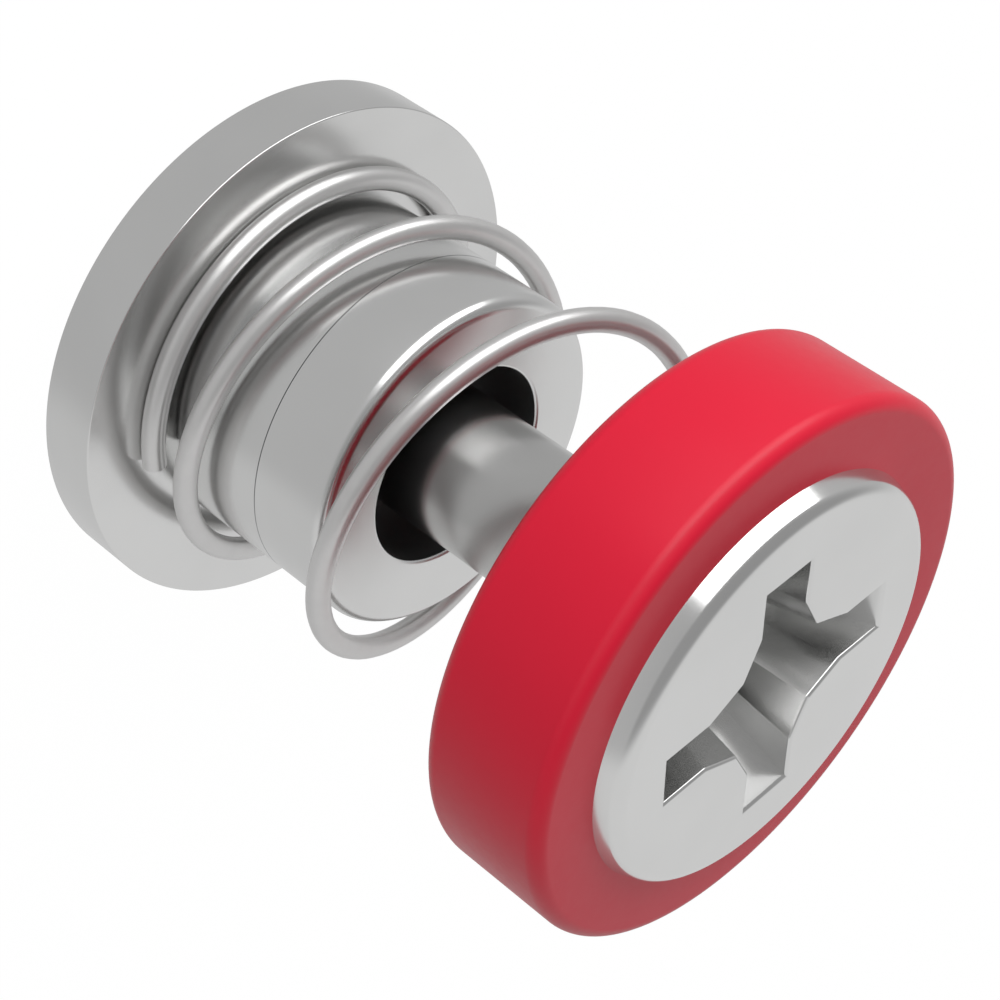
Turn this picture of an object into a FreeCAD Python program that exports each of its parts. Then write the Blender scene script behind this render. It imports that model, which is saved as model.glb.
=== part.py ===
import FreeCAD, Part
import math
import os

# Captive panel screw, in millimetres. Z is the axis of the screw, positive towards the knob.
# Z = 0 is the face of the flange that sits on the panel, and the knob is in its raised place.

# retainer: the spigot goes into the panel, the barrel guides the screw
FLANGE_R = 5.75
FLANGE_T = 1.33
FLANGE_EDGE = 0.10
BARREL_R = 3.79
BARREL_H = 4.63
BARREL_EDGE = 0.27
LINE_HEIGHT = 2.75
LINE_W = 0.04
LINE_DEPTH = 0.03
SPIGOT_R = 3.35
SPIGOT_L = 1.20
SPIGOT_CHAMFER = 0.15

# bore of the retainer: a wide mouth, a tapped lip that holds the thread back, a wide tail
MOUTH_R = 2.24
MOUTH_DEPTH = 1.96
MOUTH_EDGE = 0.08
LIP_T = 1.00
LIP_PLAY = 0.12
TAIL_PLAY = 0.15
TAIL_CHAMFER = 0.20

# screw: threaded end, reduced neck, round head with a cross recess
THREAD_R = 2.00
THREAD_L = 3.95
THREAD_CHAMFER = 0.45
SHOULDER_CHAMFER = 0.25
SHOULDER_GAP = 0.05
NECK_R = 1.50
NECK_L = 9.10
HEAD_R = 4.46
HEAD_H = 2.335
HEAD_PROUD = 0.425
HEAD_EDGE = 0.29
HEAD_SLOPE = 0.25

# cross recess: half sizes at the face, and how far each closes in per millimetre of depth
RECESS_TIP = 3.05
RECESS_TIP_TAPER = 0.48
RECESS_WING = 0.61
RECESS_WING_TAPER = 0.03
RECESS_ROOT = 1.93
RECESS_ROOT_TAPER = 0.25
RECESS_CORE = 1.03
RECESS_CORE_TAPER = 0.13
RECESS_DEPTH = 1.80
RECESS_OVERRUN = 0.10
RECESS_POINT_R = 0.70
RECESS_POINT_DEPTH = 0.30

# flutes that key the moulded knob to the head
FLUTE_COUNT = 12
FLUTE_R = 0.35
FLUTE_DEPTH = 0.20
FLUTE_COVER = 0.45

# knob: a plastic cup moulded round the head, with a seat for the spring underneath
KNOB_R = 5.92
KNOB_FRONT_EDGE = 0.35
KNOB_DISH = 0.05
KNOB_BACK_EDGE = 0.32
KNOB_FLOOR = 0.60
SEAT_DEPTH = 0.40
SEAT_PLAY = 0.16

# spring: round wire, left hand, closed flat at both ends
WIRE_R = 0.25
COIL_PLAY = 0.25
END_TURNS = 0.76
OPEN_TURNS = 2.42
BLEND_TURNS = 0.10
COIL_START_DEG = 180.0
COIL_SEAT_GAP = 0.005

# places along the axis that follow from the sizes
BARREL_TOP = FLANGE_T + BARREL_H
LIP_TOP = BARREL_TOP - MOUTH_DEPTH
LIP_BOTTOM = LIP_TOP - LIP_T
SHOULDER_Z = LIP_BOTTOM - SHOULDER_GAP
THREAD_END = SHOULDER_Z - THREAD_L
HEAD_BACK = SHOULDER_Z + NECK_L
HEAD_FACE = HEAD_BACK + HEAD_H
KNOB_FRONT = HEAD_FACE - HEAD_PROUD
RING_Z = KNOB_FRONT - KNOB_DISH
SEAT_Z = HEAD_BACK - KNOB_FLOOR
KNOB_BACK = SEAT_Z - SEAT_DEPTH
COIL_R = BARREL_R + COIL_PLAY + WIRE_R
SEAT_R = COIL_R + WIRE_R + SEAT_PLAY

AXIS = FreeCAD.Vector(0, 0, 1)
ORIGIN = FreeCAD.Vector(0, 0, 0)


def profile_point(corner):
    return FreeCAD.Vector(corner[0], 0, corner[1])


def rounded_edges(before, corner, after):
    """The points where an edge radius starts and ends at a profile corner, and its arc."""
    radius = corner[2]
    at = profile_point(corner)
    if radius == 0:
        return at, at, None
    to_before = (profile_point(before) - at).normalize()
    to_after = (profile_point(after) - at).normalize()
    half_angle = to_before.getAngle(to_after) / 2
    setback = radius / math.tan(half_angle)
    start = at + to_before * setback
    end = at + to_after * setback
    bisector = (to_before + to_after).normalize()
    middle = at + bisector * (radius / math.sin(half_angle) - radius)
    return start, end, Part.Arc(start, middle, end).toShape()


def turned(corners):
    """A solid of revolution; each corner is (radius, height, edge radius)."""
    count = len(corners)
    pieces = [rounded_edges(corners[i - 1], corners[i], corners[(i + 1) % count])
              for i in range(count)]
    edges = []
    for i in range(count):
        start, end, arc = pieces[i]
        if arc is not None:
            edges.append(arc)
        edges.append(Part.LineSegment(end, pieces[(i + 1) % count][0]).toShape())
    outline = Part.Face(Part.Wire(edges))
    return outline.revolve(ORIGIN, AXIS, 360)


def make_retainer():
    lip_r = NECK_R + LIP_PLAY
    tail_r = THREAD_R + TAIL_PLAY
    line_z = FLANGE_T + LINE_HEIGHT
    line_r = BARREL_R - LINE_DEPTH
    return turned([
        (tail_r + TAIL_CHAMFER, -SPIGOT_L, 0),
        (SPIGOT_R - SPIGOT_CHAMFER, -SPIGOT_L, 0),
        (SPIGOT_R, -SPIGOT_L + SPIGOT_CHAMFER, 0),
        (SPIGOT_R, 0, 0),
        (FLANGE_R, 0, FLANGE_EDGE),
        (FLANGE_R, FLANGE_T, FLANGE_EDGE),
        (BARREL_R, FLANGE_T, 0),
        (BARREL_R, line_z - LINE_W / 2, 0),
        (line_r, line_z, 0),
        (BARREL_R, line_z + LINE_W / 2, 0),
        (BARREL_R, BARREL_TOP, BARREL_EDGE),
        (MOUTH_R, BARREL_TOP, MOUTH_EDGE),
        (MOUTH_R, LIP_TOP, 0),
        (lip_r, LIP_TOP, 0),
        (lip_r, LIP_BOTTOM, 0),
        (tail_r, LIP_BOTTOM, 0),
        (tail_r, -SPIGOT_L + TAIL_CHAMFER, 0),
    ])


def recess_section(depth):
    """Outline of the cross recess at a depth below the face of the head."""
    tip = RECESS_TIP - RECESS_TIP_TAPER * depth
    wing = RECESS_WING - RECESS_WING_TAPER * depth
    root = RECESS_ROOT - RECESS_ROOT_TAPER * depth
    core = RECESS_CORE - RECESS_CORE_TAPER * depth
    quarter = [(tip, -wing), (tip, wing), (root, wing), (core, core), (wing, root)]
    points = []
    for step in range(4):
        turn = math.radians(90 * step)
        for x, y in quarter:
            across = x * math.cos(turn) - y * math.sin(turn)
            up = x * math.sin(turn) + y * math.cos(turn)
            points.append(FreeCAD.Vector(across, up, HEAD_FACE - depth))
    return Part.makePolygon(points + points[:1])


def make_recess():
    """The struck cross, with the shallow cone that the punch's point leaves in its floor."""
    mouth = recess_section(-RECESS_OVERRUN)
    floor = recess_section(RECESS_DEPTH)
    cross = Part.makeLoft([mouth, floor], True, True)
    centre = FreeCAD.Vector(0, 0, HEAD_FACE - RECESS_DEPTH)
    point = Part.makeCone(RECESS_POINT_R, 0, RECESS_POINT_DEPTH, centre, FreeCAD.Vector(0, 0, -1))
    return cross.fuse(point)


def make_flutes():
    """Round grooves down the hidden part of the head's rim."""
    height = KNOB_FRONT - FLUTE_COVER - HEAD_BACK
    centre_r = HEAD_R - FLUTE_DEPTH + FLUTE_R
    flutes = []
    for i in range(FLUTE_COUNT):
        angle = 2 * math.pi * (i + 0.5) / FLUTE_COUNT
        foot = FreeCAD.Vector(centre_r * math.cos(angle), centre_r * math.sin(angle), HEAD_BACK)
        flutes.append(Part.makeCylinder(FLUTE_R, height, foot, AXIS))
    return Part.makeCompound(flutes)


def make_screw_blank():
    """The screw before its recess is struck; its head draws in a little above the knob."""
    face_r = HEAD_R - HEAD_SLOPE * (HEAD_FACE - RING_Z)
    blank = turned([
        (0, THREAD_END, 0),
        (THREAD_R - THREAD_CHAMFER, THREAD_END, 0),
        (THREAD_R, THREAD_END + THREAD_CHAMFER, 0),
        (THREAD_R, SHOULDER_Z - SHOULDER_CHAMFER, 0),
        (THREAD_R - SHOULDER_CHAMFER, SHOULDER_Z, 0),
        (NECK_R, SHOULDER_Z, 0),
        (NECK_R, HEAD_BACK, 0),
        (HEAD_R, HEAD_BACK, 0),
        (HEAD_R, RING_Z, 0),
        (face_r, HEAD_FACE, HEAD_EDGE),
        (0, HEAD_FACE, 0),
    ])
    return blank.cut(make_flutes())


def make_knob():
    """The cup is the moulded outline less the head and neck that it is moulded round."""
    cup = turned([
        (0, SEAT_Z, 0),
        (SEAT_R, SEAT_Z, 0),
        (SEAT_R, KNOB_BACK, 0),
        (KNOB_R, KNOB_BACK, KNOB_BACK_EDGE),
        (KNOB_R, KNOB_FRONT, KNOB_FRONT_EDGE),
        (HEAD_R, RING_Z, 0),
        (0, KNOB_FRONT - KNOB_DISH, 0),
    ])
    return cup.cut(make_screw_blank())


def coil_edge(cylinder, poles):
    """One stretch of the wire's middle line, drawn on the coil's cylinder as (turns, height)."""
    flat = [FreeCAD.Base.Vector2d(math.radians(COIL_START_DEG) - 2 * math.pi * turns, height)
            for turns, height in poles]
    if len(flat) == 2:
        return Part.Geom2d.Line2dSegment(flat[0], flat[1]).toShape(cylinder)
    curve = Part.Geom2d.BezierCurve2d()
    curve.setPoles(flat)
    return curve.toShape(cylinder)


def soft_bend(before, corner, after):
    """Poles of a bend that leaves and joins its two straight stretches with no curvature."""
    first_half = ((before[0] + corner[0]) / 2, (before[1] + corner[1]) / 2)
    last_half = ((corner[0] + after[0]) / 2, (corner[1] + after[1]) / 2)
    return [before, first_half, corner, last_half, after]


def make_spring():
    """Flat end turns and a steady pitch between them, with a soft bend where they meet."""
    low = FLANGE_T + WIRE_R + COIL_SEAT_GAP
    high = SEAT_Z - WIRE_R - COIL_SEAT_GAP
    rise = (high - low) / OPEN_TURNS * BLEND_TURNS
    first = END_TURNS
    last = END_TURNS + OPEN_TURNS
    end = last + END_TURNS
    flat_end = (first - BLEND_TURNS, low)
    open_start = (first + BLEND_TURNS, low + rise)
    open_end = (last - BLEND_TURNS, high - rise)
    flat_start = (last + BLEND_TURNS, high)
    stretches = [
        [(0, low), flat_end],
        soft_bend(flat_end, (first, low), open_start),
        [open_start, open_end],
        soft_bend(open_end, (last, high), flat_start),
        [flat_start, (end, high)],
    ]
    cylinder = Part.Cylinder()
    cylinder.Radius = COIL_R
    path = Part.Wire([coil_edge(cylinder, poles) for poles in stretches])
    angle = math.radians(COIL_START_DEG)
    middle = FreeCAD.Vector(COIL_R * math.cos(angle), COIL_R * math.sin(angle), low)
    along = FreeCAD.Vector(-math.sin(angle), math.cos(angle), 0)
    section = Part.Wire([Part.makeCircle(WIRE_R, middle, along)])
    return path.makePipeShell([section], True, True)


def build():
    os.makedirs("parts", exist_ok=True)
    pieces = {
        "retainer": make_retainer(),
        "screw": make_screw_blank().cut(make_recess()),
        "knob": make_knob(),
        "spring": make_spring(),
    }
    for name, shape in pieces.items():
        shape.exportStep("parts/" + name + ".step")
        print(name, "volume", round(shape.Volume, 3), "valid", shape.isValid(), "solids", len(shape.Solids))


build()
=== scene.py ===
import math

import bmesh
import bpy
from mathutils import Matrix, Vector


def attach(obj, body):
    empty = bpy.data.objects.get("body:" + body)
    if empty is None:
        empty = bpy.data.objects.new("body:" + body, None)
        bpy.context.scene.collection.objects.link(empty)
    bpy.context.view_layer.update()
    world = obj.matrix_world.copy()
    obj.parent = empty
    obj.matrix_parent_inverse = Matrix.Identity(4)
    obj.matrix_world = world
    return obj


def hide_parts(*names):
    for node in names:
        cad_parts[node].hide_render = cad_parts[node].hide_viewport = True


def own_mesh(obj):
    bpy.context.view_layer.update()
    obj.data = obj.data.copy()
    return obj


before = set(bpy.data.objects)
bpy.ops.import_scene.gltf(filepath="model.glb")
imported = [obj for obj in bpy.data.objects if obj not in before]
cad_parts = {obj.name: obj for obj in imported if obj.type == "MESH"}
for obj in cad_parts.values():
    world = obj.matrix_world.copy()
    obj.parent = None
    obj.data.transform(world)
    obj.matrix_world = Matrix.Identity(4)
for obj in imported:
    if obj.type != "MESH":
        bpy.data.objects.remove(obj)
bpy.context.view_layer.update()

# The retainer is a flanged bush turned from bar and plated bright. Its barrel guides the screw, its
# spigot is pressed into the panel, and a tapped lip inside holds the screw's thread back.
# The bore is left as drilled and tapped, so it is dull, and its colour is painted dark as painted shade
# in the bore and in the mark round the barrel.
MM = 0.001
FLANGE_R, FLANGE_T, FLANGE_EDGE = 5.75, 1.33, 0.03
BARREL_R, BARREL_TOP, BARREL_EDGE = 3.79, 5.96, 0.27
MARK_Z, MARK_HALF, MARK_DEPTH = 4.08, 0.012, 0.02
MOUTH_R, MOUTH_EDGE = 2.24, 0.08
BORE_R, BORE_TOP = MOUTH_R + 0.01, BARREL_TOP - 0.06
LIP_TOP, LIP_BOTTOM, LIP_R = 4.00, 3.00, 1.62
TAIL_R, TAIL_CHAMFER = 2.15, 0.20
SPIGOT_R, SPIGOT_END, SPIGOT_CHAMFER, SPIGOT_EDGE = 3.35, -1.20, 0.15, 0.04
LATHE_STEPS, ROUNDING_STEPS, MERGE_BELOW = 192, 12, 1e-7
# The grey steel is painted shade, for the screw's neck under the knob and its recess walls.
STEEL, SMUDGED_STEEL, SCREW_SHADE_STEEL = (0.77, 0.77, 0.765, 1), (0.73, 0.73, 0.725, 1), (0.42, 0.42, 0.41, 1)
# These bore colours are painted shade: dark steel where the bore and the mark lie in shadow.
BORE_SHADE_STEEL, BORE_SHADE_DARK_STEEL = (0.34, 0.35, 0.35, 1), (0.26, 0.27, 0.27, 1)


class Value:
    """A shader socket that can be added, multiplied and so on, on either side of a number."""

    def __init__(self, graph, socket):
        self.graph = graph
        self.socket = socket

    def math(self, operation, *others):
        inputs = dict(enumerate((self,) + others))
        return self.graph.node("ShaderNodeMath", {"operation": operation}, inputs)

    def __add__(self, other):
        return self.math("ADD", other)

    def __sub__(self, other):
        return self.math("SUBTRACT", other)

    def __mul__(self, other):
        return self.math("MULTIPLY", other)

    def __pow__(self, other):
        return self.math("POWER", other)

    def __radd__(self, other):
        return self.math("ADD", other)

    def __rsub__(self, other):
        return self * -1 + other

    def __rmul__(self, other):
        return self.math("MULTIPLY", other)

    def ramp(self, low, high):
        """Goes smoothly from 0 to 1 as the value goes from low to high."""
        return self.graph.node("ShaderNodeMapRange", {"interpolation_type": "SMOOTHSTEP"},
                               {"Value": self, "From Min": low, "From Max": high}, "Result")


class Graph:
    """The node tree of a new material, or of the world."""

    def __init__(self, owner):
        owner.use_nodes = True
        self.owner = owner
        self.tree = owner.node_tree
        self.tree.nodes.clear()

    def node(self, kind, settings=None, inputs=None, output=0):
        made = self.tree.nodes.new(kind)
        for key, value in (settings or {}).items():
            setattr(made, key, value)
        for key, value in (inputs or {}).items():
            if isinstance(value, Value):
                self.tree.links.new(value.socket, made.inputs[key])
            else:
                made.inputs[key].default_value = value
        return Value(self, made.outputs[output]) if made.outputs else None

    def place(self):
        """The object coordinates of the point that is shaded."""
        return self.node("ShaderNodeTexCoord", output="Object")

    def round_axis(self, point):
        """The height, the distance from the axis, and the two as a vector for lathe lines."""
        split = self.node("ShaderNodeSeparateXYZ", inputs={0: point}).socket.node
        x, y, z = (Value(self, split.outputs[i]) for i in range(3))
        away = (x * x + y * y) ** 0.5
        return z, away, self.node("ShaderNodeCombineXYZ", inputs={0: away, 1: z})

    def noise(self, vector, scale, detail=3.0, roughness=0.5):
        return self.node("ShaderNodeTexNoise", None,
                         {"Vector": vector, "Scale": scale, "Detail": detail, "Roughness": roughness})

    def bump(self, height, strength, distance):
        return self.node("ShaderNodeBump", None,
                         {"Height": height, "Strength": strength, "Distance": distance})

    def tint(self, factor, first, second):
        """Goes from the first colour to the second as the factor goes from 0 to 1."""
        return self.node("ShaderNodeMix", {"data_type": "RGBA"},
                         {"Factor": factor, 6: first, 7: second}, 2)

    def surface(self, inputs):
        shader = self.node("ShaderNodeBsdfPrincipled", None, inputs)
        self.node("ShaderNodeOutputMaterial", None, {"Surface": shader})
        return self.owner


def turned_steel(name, finish_and_shade):
    """Bright steel with fine lathe lines round the axis and faint smudges. The function that is passed in
    gives the roughness and how far painted shade greys the colour, from the height and the distance from
    the axis."""
    g = Graph(bpy.data.materials.new(name))
    point = g.place()
    z, away, lathe = g.round_axis(point)
    lines = g.noise(lathe, 8000.0, 4.0, 0.6)
    cloud = g.noise(point, 260.0, 3.0)
    specks = g.noise(point, 2600.0, 2.0)
    rough, shade_amount = finish_and_shade(z, away)
    uneven = cloud.ramp(0.42, 0.68) * 0.03 + (lines - 0.5) * 0.04 + (specks - 0.5) * 0.02
    return g.surface({
        # The base colour is greyed towards the shade steel as painted shade, where the finish function
        # asks for it.
        "Base Color": g.tint(shade_amount, g.tint(cloud.ramp(0.3, 0.75), STEEL, SMUDGED_STEEL), SCREW_SHADE_STEEL),
        "Metallic": 1.0,
        "Roughness": uneven + rough,
        "Normal": g.bump(lines, 0.12, 1e-6),
    })


def bush_finish(z, away):
    """The front of the barrel is turned a little coarser than the flange."""
    return z.ramp(4.5 * MM, 5.8 * MM) * 0.04 + 0.19, 0.0


def gets_bore_shade(point):
    """True in the bore, and in the fine mark that the tool left round the barrel, which both get the
    bore's painted shade.
    """
    if math.hypot(point.x, point.y) < BORE_R * MM:
        return point.z < BORE_TOP * MM
    return abs(point.z - MARK_Z * MM) < MARK_HALF * MM


def spin_profile(corners, closed):
    """Turns a profile of (radius, height, edge radius) corners, in mm, round the axis."""
    bm = bmesh.new()
    verts = [bm.verts.new((radius * MM, 0, height * MM)) for radius, height, edge in corners]
    for i in range(len(verts) - (0 if closed else 1)):
        bm.edges.new((verts[i], verts[(i + 1) % len(verts)]))
    for vert, (radius, height, edge) in zip(verts, corners):
        if edge:
            bmesh.ops.bevel(bm, geom=[vert], offset=edge * MM, segments=ROUNDING_STEPS, profile=0.5,
                            affect="VERTICES", material=-1)
    bmesh.ops.spin(bm, geom=bm.verts[:] + bm.edges[:], axis=(0, 0, 1), cent=(0, 0, 0),
                   angle=2 * math.pi, steps=LATHE_STEPS, use_merge=True)
    bmesh.ops.remove_doubles(bm, verts=bm.verts, dist=MERGE_BELOW)
    bmesh.ops.recalc_face_normals(bm, faces=bm.faces)
    return bm


def finish_mesh(name, bm, body, node, materials, sharp=32.0, weighted=True, flat=None):
    """Makes the piece from its finished mesh and sets it on its body. Faces whose corners all
    pass the test flat stay flat, and edges that turn more than sharp degrees stay sharp."""
    bmesh.ops.recalc_face_normals(bm, faces=bm.faces)
    for face in bm.faces:
        face.smooth = flat is None or not all(flat(vert) for vert in face.verts)
    mesh = bpy.data.meshes.new(name)
    bm.to_mesh(mesh)
    bm.free()
    for material in materials:
        mesh.materials.append(material)
    mesh.set_sharp_from_angle(angle=math.radians(sharp))
    piece = bpy.data.objects.new(name, mesh)
    bpy.context.scene.collection.objects.link(piece)
    if weighted:
        even = piece.modifiers.new("even_normals", "WEIGHTED_NORMAL")
        even.keep_sharp = True
    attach(piece, body)
    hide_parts(node)
    return piece


plated = turned_steel("plated_steel", bush_finish)
# The bore's colour is painted shade: dark steel with random patches, and rougher rings cut in it.
g = Graph(bpy.data.materials.new("bore_in_painted_shade"))
point = g.place()
rings = g.noise(g.round_axis(point)[2], 5000.0, 2.0)
shaded_bore = g.surface({
    "Base Color": g.tint(g.noise(point, 600.0), BORE_SHADE_STEEL, BORE_SHADE_DARK_STEEL),
    "Metallic": 1.0,
    "Roughness": rings * 0.15 + 0.32,
    "Normal": g.bump(rings, 0.3, 4e-6),
})

bm = spin_profile([
    (TAIL_R + TAIL_CHAMFER, SPIGOT_END, 0),
    (SPIGOT_R - SPIGOT_CHAMFER, SPIGOT_END, 0),
    (SPIGOT_R, SPIGOT_END + SPIGOT_CHAMFER, SPIGOT_EDGE),
    (SPIGOT_R, 0.00, 0),
    (FLANGE_R, 0.00, FLANGE_EDGE),
    (FLANGE_R, FLANGE_T, FLANGE_EDGE),
    (BARREL_R, FLANGE_T, 0),
    (BARREL_R, MARK_Z - MARK_HALF, 0),
    (BARREL_R - MARK_DEPTH, MARK_Z, 0),
    (BARREL_R, MARK_Z + MARK_HALF, 0),
    (BARREL_R, BARREL_TOP, BARREL_EDGE),
    (MOUTH_R, BARREL_TOP, MOUTH_EDGE),
    (MOUTH_R, LIP_TOP, 0),
    (LIP_R, LIP_TOP, 0),
    (LIP_R, LIP_BOTTOM, 0),
    (TAIL_R, LIP_BOTTOM, 0),
    (TAIL_R, SPIGOT_END + TAIL_CHAMFER, 0),
], closed=True)
# Faces in the bore and in the mark get the bore's dark colour, as painted shade.
for face in bm.faces:
    if gets_bore_shade(face.calc_center_median()):
        face.material_index = 1
finish_mesh("bush", bm, "retainer", "retainer", [plated, shaded_bore])

# The screw is a plated M4 screw with a large round head, headed and then turned. The cross recess is
# struck by a tapered punch. The thread is rolled on the end, behind the reduced neck, so
# that it can't come back through the lip of the bush.
HEAD_FACE, HEAD_BACK, HEAD_R = 14.385, 12.05, 4.46
RING_Z, HEAD_SLOPE, HEAD_EDGE = 13.91, 0.36, 0.22
FLAT_R, NEAR_FACE = 3.60, 1e-6
NECK_R, SHOULDER, SHOULDER_CHAMFER = 1.50, 2.95, 0.10
CORE_R, THREAD_END = 1.60, -1.00
END_CHAMFER, END_CHAMFER_LENGTH, END_EDGE = 0.15, 0.20, 0.02
RECESS_TIP, RECESS_WING, RECESS_ROOT, RECESS_CORE = 3.05, 0.61, 1.93, 1.03
TIP_TAPER, WING_TAPER, ROOT_TAPER, CORE_TAPER = 0.48, 0.03, 0.25, 0.13
RECESS_DEPTH, PUNCH_OVERRUN = 1.80, 0.10
RECESS_EDGE, RECESS_EDGE_STEPS, RECESS_EDGE_TURN = 0.07, 6, math.radians(40)
POINT_R, POINT_LENGTH, POINT_MIDDLE, POINT_SIDES = 0.82, 0.35, 1.925, 64
THREAD_R, PITCH, THREAD_STEPS = 2.00, 0.70, 72
RIDGE_HALF, CREST_HALF, RIDGE_SUNK, RIDGE_SHORT = 0.308, 0.04, 0.05, 0.05


def recess_ring(bm, depth):
    """One outline of the cross recess, as a loop of edges, at a depth below the face."""
    tip, wing = RECESS_TIP - TIP_TAPER * depth, RECESS_WING - WING_TAPER * depth
    root, core = RECESS_ROOT - ROOT_TAPER * depth, RECESS_CORE - CORE_TAPER * depth
    quarter = [(tip, -wing), (tip, wing), (root, wing), (core, core), (wing, root)]
    verts = []
    for turn in range(4):
        spin = Matrix.Rotation(math.pi / 2 * turn, 3, "Z")
        verts += [bm.verts.new(spin @ Vector((u, v, HEAD_FACE - depth)) * MM) for u, v in quarter]
    return [bm.edges.new((verts[i], verts[(i + 1) % len(verts)])) for i in range(len(verts))]


def at_face(vert):
    """True on the flat middle of the head's face, where the punch strikes."""
    x, y, z = vert.co
    return abs(z - HEAD_FACE * MM) < NEAR_FACE and math.hypot(x, y) < (FLAT_R + 0.01) * MM


def spare_object(name, bm):
    """A mesh that is only used to cut or be cut, and goes before the scene is finished."""
    bmesh.ops.recalc_face_normals(bm, faces=bm.faces)
    mesh = bpy.data.meshes.new(name)
    bm.to_mesh(mesh)
    bm.free()
    spare = bpy.data.objects.new(name, mesh)
    bpy.context.scene.collection.objects.link(spare)
    return spare


def screw_rough_and_shaded(z, away):
    """The neck is left as turned, and the neck under the knob and the walls of the struck recess are
    painted darker as shade.
    """
    neck = away.ramp(2.5 * MM, 1.8 * MM) * z.ramp(12.5 * MM, 12.0 * MM)
    recess = away.ramp(4.0 * MM, 3.5 * MM) * z.ramp(14.37 * MM, 14.25 * MM) * z.ramp(12.0 * MM, 12.5 * MM)
    # The second value greys the base colour as painted shade, on the neck under the knob and on the
    # recess walls.
    return neck * 0.06 + recess * 0.05 + 0.15, neck * 0.45 + recess * 0.16


# The punch is a tapered cross with a blunt point.
bm = bmesh.new()
loops = [recess_ring(bm, depth) for depth in (-PUNCH_OVERRUN, RECESS_DEPTH)]
bmesh.ops.bridge_loops(bm, edges=loops[0] + loops[1])
for loop in loops:
    bmesh.ops.contextual_create(bm, geom=loop)
cross = spare_object("cross", bm)
bm = bmesh.new()
bmesh.ops.create_cone(bm, cap_ends=True, segments=POINT_SIDES, radius1=0, radius2=POINT_R * MM,
                      depth=POINT_LENGTH * MM,
                      matrix=Matrix.Translation((0, 0, (HEAD_FACE - POINT_MIDDLE) * MM)))
point_tool = spare_object("point_tool", bm)

# The blank is the core of the thread, the neck and the head, and the punch strikes its face.
bm = spin_profile([
    (0, THREAD_END, 0),
    (CORE_R - END_CHAMFER, THREAD_END, END_EDGE),
    (CORE_R, THREAD_END + END_CHAMFER_LENGTH, 0),
    (CORE_R, SHOULDER - SHOULDER_CHAMFER, 0),
    (NECK_R, SHOULDER, 0),
    (NECK_R, HEAD_BACK, 0),
    (HEAD_R, HEAD_BACK, 0),
    (HEAD_R, RING_Z, 0),
    (HEAD_R - HEAD_SLOPE * (HEAD_FACE - RING_Z), HEAD_FACE, HEAD_EDGE),
    (FLAT_R, HEAD_FACE, 0),
    (0, HEAD_FACE, 0),
], closed=False)
disc = [face for face in bm.faces if all(at_face(vert) for vert in face.verts)]
bmesh.ops.dissolve_faces(bm, faces=disc)
blank = spare_object("blank", bm)
for tool in (cross, point_tool):
    strike = blank.modifiers.new("strike", "BOOLEAN")
    strike.operation = "DIFFERENCE"
    strike.object = tool
    strike.solver = "EXACT"
bpy.context.view_layer.update()
struck = bpy.data.meshes.new_from_object(blank.evaluated_get(bpy.context.evaluated_depsgraph_get()))
bm = bmesh.new()
bm.from_mesh(struck)
for used in (cross, point_tool, blank):
    bpy.data.objects.remove(used)

recess_mouth = [edge for edge in bm.edges
                if all(at_face(vert) for vert in edge.verts) and edge.is_manifold
                and abs(edge.calc_face_angle(0)) > RECESS_EDGE_TURN]
bmesh.ops.bevel(bm, geom=recess_mouth, offset=RECESS_EDGE * MM, segments=RECESS_EDGE_STEPS,
                profile=0.5, affect="EDGES", material=-1)

# The thread's ridge is wound on the core, from its end to just short of the shoulder.
ridge = bmesh.new()
start = THREAD_END + RIDGE_HALF
section = [ridge.verts.new((radius * MM, 0, (start + along) * MM)) for radius, along in (
    (CORE_R - RIDGE_SUNK, -RIDGE_HALF),
    (THREAD_R, -CREST_HALF),
    (THREAD_R, CREST_HALF),
    (CORE_R - RIDGE_SUNK, RIDGE_HALF),
)]
ridge.faces.new(section)
turns = (SHOULDER - RIDGE_SHORT - RIDGE_HALF - start) / PITCH
bmesh.ops.spin(ridge, geom=ridge.verts[:] + ridge.edges[:] + ridge.faces[:], axis=(0, 0, 1),
               cent=(0, 0, 0), angle=2 * math.pi * turns, steps=int(THREAD_STEPS * turns),
               dvec=(0, 0, PITCH / THREAD_STEPS * MM))
ridge_mesh = bpy.data.meshes.new("ridge")
ridge.to_mesh(ridge_mesh)
ridge.free()
bm.from_mesh(ridge_mesh)

# The screw's steel carries painted shade on its neck and in its recess.
satin_and_shade = turned_steel("satin_steel", screw_rough_and_shaded)
finish_mesh("screw_body", bm, "screw", "screw", [satin_and_shade], sharp=18.0, flat=at_face)

# The knob is a cup of red thermoplastic moulded round the screw's head, with a satin skin.
# Its back has a seat that centres the spring.
KNOB_R, KNOB_FRONT, KNOB_BACK = 5.92, 13.96, 11.05
KNOB_FRONT_EDGE, KNOB_BACK_EDGE = 0.31, 0.34
SEAT_Z, SEAT_R, SEAT_EDGE = 11.45, 4.70, 0.05
RED, DEEP_RED = (0.76, 0.007, 0.037, 1), (0.72, 0.006, 0.034, 1)
g = Graph(bpy.data.materials.new("red_plastic"))
point = g.place()
skin = g.noise(point, 5200.0, 3.0, 0.6)
flow = g.noise(point, 180.0, 2.0)
red = g.surface({
    "Base Color": g.tint(flow.ramp(0.3, 0.7), RED, DEEP_RED),
    "Roughness": (skin - 0.5) * 0.10 + flow * 0.06 + 0.32,
    "Normal": g.bump(skin, 0.10, 4e-6),
    "Specular IOR Level": 0.40,
})
bm = spin_profile([
    (NECK_R, SEAT_Z, 0),
    (SEAT_R, SEAT_Z, 0),
    (SEAT_R, KNOB_BACK, SEAT_EDGE),
    (KNOB_R, KNOB_BACK, KNOB_BACK_EDGE),
    (KNOB_R, KNOB_FRONT, KNOB_FRONT_EDGE),
    (HEAD_R, RING_Z, 0),
    (HEAD_R, HEAD_BACK, 0),
    (NECK_R, HEAD_BACK, 0),
], closed=True)
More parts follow.
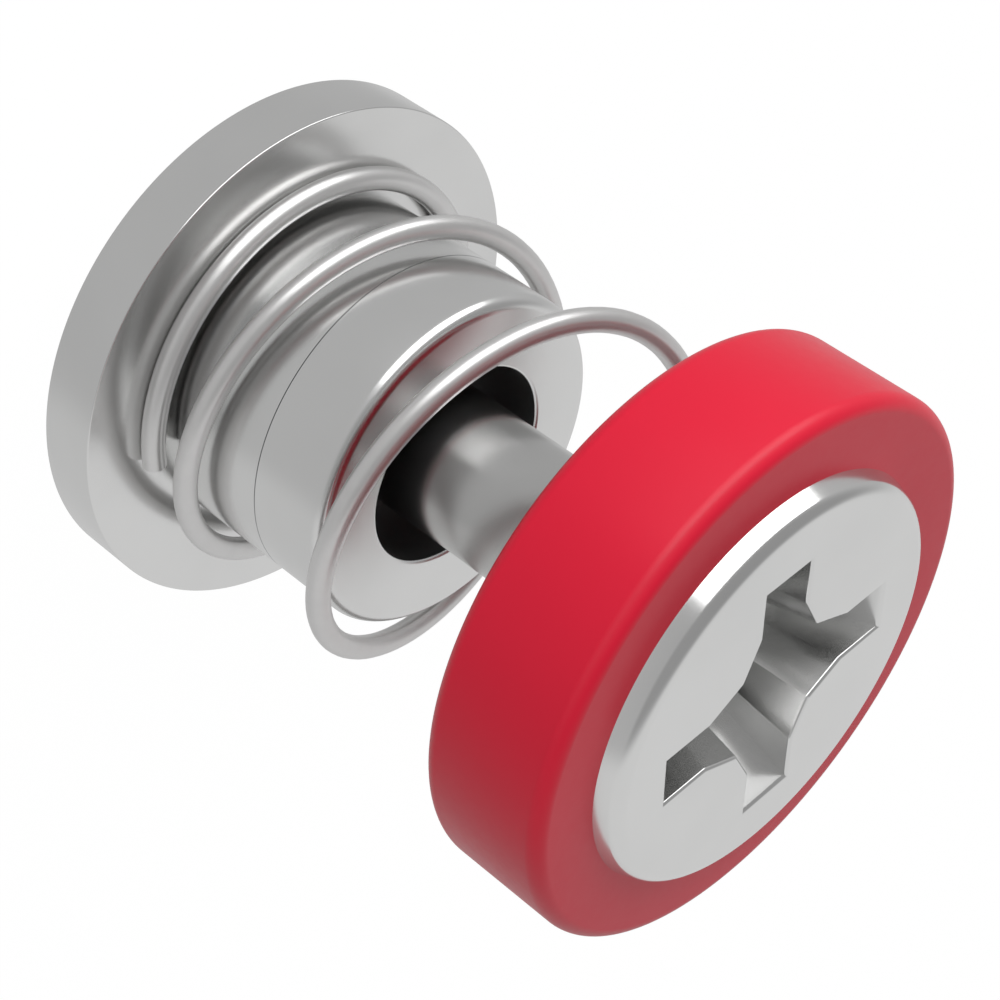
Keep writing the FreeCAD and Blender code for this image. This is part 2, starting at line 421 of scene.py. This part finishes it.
finish_mesh("cup", bm, "screw", "knob", [red])

# The spring is drawn steel wire, coiled left-handed on a coiling machine, with the last turn
# at each end laid flat and cut off square. It is squashed along its axis as the screw is pushed in.
WIRE_R, WIRE_SIDES, COIL_R = 0.25, 20, 4.29
END_TURNS, OPEN_TURNS, BLEND_TURNS, STEPS_PER_TURN = 0.76, 2.42, 0.10, 100
SEAT_GAP = 0.005
COIL_LOW = FLANGE_T + WIRE_R + SEAT_GAP
COIL_HIGH = SEAT_Z - WIRE_R - SEAT_GAP
WIRE, WIRE_DARK = (0.74, 0.735, 0.73, 1), (0.69, 0.685, 0.68, 1)


def climbed(turns):
    """Turns climbed at full pitch once the wire has left its flat end, eased over the bend."""
    share = min(max((turns + BLEND_TURNS) / (2 * BLEND_TURNS), 0), 1)
    eased = 2 * BLEND_TURNS * (share ** 3 - share ** 4 / 2)
    return eased + max(turns - BLEND_TURNS, 0)


def coil_height(turns):
    """The height of the wire's centre, that many turns from its lower tip."""
    climb = climbed(turns - END_TURNS) - climbed(turns - END_TURNS - OPEN_TURNS)
    return COIL_LOW + (COIL_HIGH - COIL_LOW) / OPEN_TURNS * climb


bm = bmesh.new()
bmesh.ops.create_circle(bm, cap_ends=True, segments=WIRE_SIDES, radius=WIRE_R * MM,
                        matrix=Matrix.Translation((-COIL_R * MM, 0, COIL_LOW * MM))
                        @ Matrix.Rotation(math.pi / 2, 4, "X"))
tip = bm.faces[:] + bm.edges[:] + bm.verts[:]
for step in range(round((2 * END_TURNS + OPEN_TURNS) * STEPS_PER_TURN)):
    rise = coil_height((step + 1) / STEPS_PER_TURN) - coil_height(step / STEPS_PER_TURN)
    tip = bmesh.ops.spin(bm, geom=tip, axis=(0, 0, -1), cent=(0, 0, 0),
                         angle=2 * math.pi / STEPS_PER_TURN, steps=1,
                         dvec=(0, 0, rise * MM))["geom_last"]

g = Graph(bpy.data.materials.new("spring_wire"))
die = g.noise(g.place(), 3000.0, 3.0)
wire = g.surface({
    "Base Color": g.tint(die, WIRE, WIRE_DARK),
    "Metallic": 0.82,
    "Roughness": die * 0.04 + 0.31,
    "Normal": g.bump(die, 0.06, 1e-6),
})
coil = finish_mesh("coil", bm, "spring", "spring", [wire], sharp=50.0, weighted=False)
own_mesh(coil)

# The stage is a plain white floor under the spigot. It shows white to the camera, and is grey paper
# to the light that falls on the piece.
FLOOR_HALF, FLOOR_GAP = 1.5, 0.01
g = Graph(bpy.data.materials.new("floor_paper"))
paper = g.node("ShaderNodeBsdfDiffuse", None, {"Color": (0.45, 0.45, 0.45, 1)})
white = g.node("ShaderNodeEmission", None, {"Color": (1, 1, 1, 1), "Strength": 1.04})
path = g.node("ShaderNodeLightPath").socket.node
share = Value(g, path.outputs["Is Camera Ray"]) * 0.95
g.node("ShaderNodeOutputMaterial", None,
       {"Surface": g.node("ShaderNodeMixShader", None, {0: share, 1: paper, 2: white})})
bm = bmesh.new()
bmesh.ops.create_grid(bm, x_segments=1, y_segments=1, size=FLOOR_HALF,
                      matrix=Matrix.Translation((0, 0, (SPIGOT_END - FLOOR_GAP) * MM)))
mesh = bpy.data.meshes.new("floor")
bm.to_mesh(mesh)
bm.free()
mesh.materials.append(g.owner)
floor = bpy.data.objects.new("floor", mesh)
bpy.context.scene.collection.objects.link(floor)
floor.visible_glossy = False

# The surround is white to the camera. Metal sees a grey studio, lighter below and darker in front
# and above, and rough surfaces are lit by a fill that is stronger from above.
world = bpy.data.worlds.new("surround")
bpy.context.scene.world = world
g = Graph(world)
path = g.node("ShaderNodeLightPath").socket.node
shown = Value(g, path.outputs["Is Camera Ray"])
through = Value(g, path.outputs["Is Transmission Ray"])
mirrored = Value(g, path.outputs["Is Glossy Ray"]).math("MAXIMUM", through)
direction = g.node("ShaderNodeTexCoord", output="Generated")
split = g.node("ShaderNodeSeparateXYZ", inputs={0: direction}).socket.node
up = Value(g, split.outputs["Y"])
front = Value(g, split.outputs["Z"])
below = up.ramp(-0.15, -0.45) * (front.ramp(-0.5, 0.3) * 0.12 + 0.10)
seen_in_metal = below + up.ramp(-0.4, 0.0) * front.ramp(0.1, 0.6) * -0.17 + 0.52
fill = (up.ramp(-0.3, 0.8) * 1.18 + 0.27) * (front.ramp(0.1, 1.0) * -0.58 + 1.0)
level = fill + shown * (1 - fill) + mirrored * (seen_in_metal - fill)
g.node("ShaderNodeOutputWorld", None,
       {"Surface": g.node("ShaderNodeBackground", None, {"Color": (1, 1, 1, 1), "Strength": level})})

# One long softbox lights the screw from beyond the top of the picture. The camera stands close, in
# front of the head, where the outlines in the photo put it.
SOFTBOX_X, SOFTBOX_Y, SOFTBOX_Z = 0.050, 0.100, 0.0185
CAMERA_AT = (-24.626, 34.696, 31.768)
CAMERA_RIGHT, CAMERA_UP, CAMERA_BACK = (0.70711, 0, 0.70711), (0.5, 0.70711, -0.5), (-0.5, 0.70711, 0.5)
box = bpy.data.lights.new("softbox", "AREA")
box.shape = "RECTANGLE"
box.size, box.size_y, box.energy = 0.180, 0.083, 0.098
light = bpy.data.objects.new("softbox", box)
light.matrix_world = Matrix((
    (1, 0, 0, SOFTBOX_X),
    (0, 0, 1, SOFTBOX_Y),
    (0, -1, 0, SOFTBOX_Z),
    (0, 0, 0, 1),
))
bpy.context.scene.collection.objects.link(light)

camera_data = bpy.data.cameras.new("camera")
camera_data.lens = 88.88
camera_data.sensor_width = 36.0
camera_data.clip_start = 0.001
camera_data.clip_end = 10.0
camera = bpy.data.objects.new("camera", camera_data)
turn = Matrix((CAMERA_RIGHT, CAMERA_UP, CAMERA_BACK)).transposed().to_4x4()
camera.matrix_world = Matrix.Translation(Vector(CAMERA_AT) * MM) @ turn
bpy.context.scene.collection.objects.link(camera)
bpy.context.scene.camera = camera
bpy.context.scene.view_settings.view_transform = "Standard"
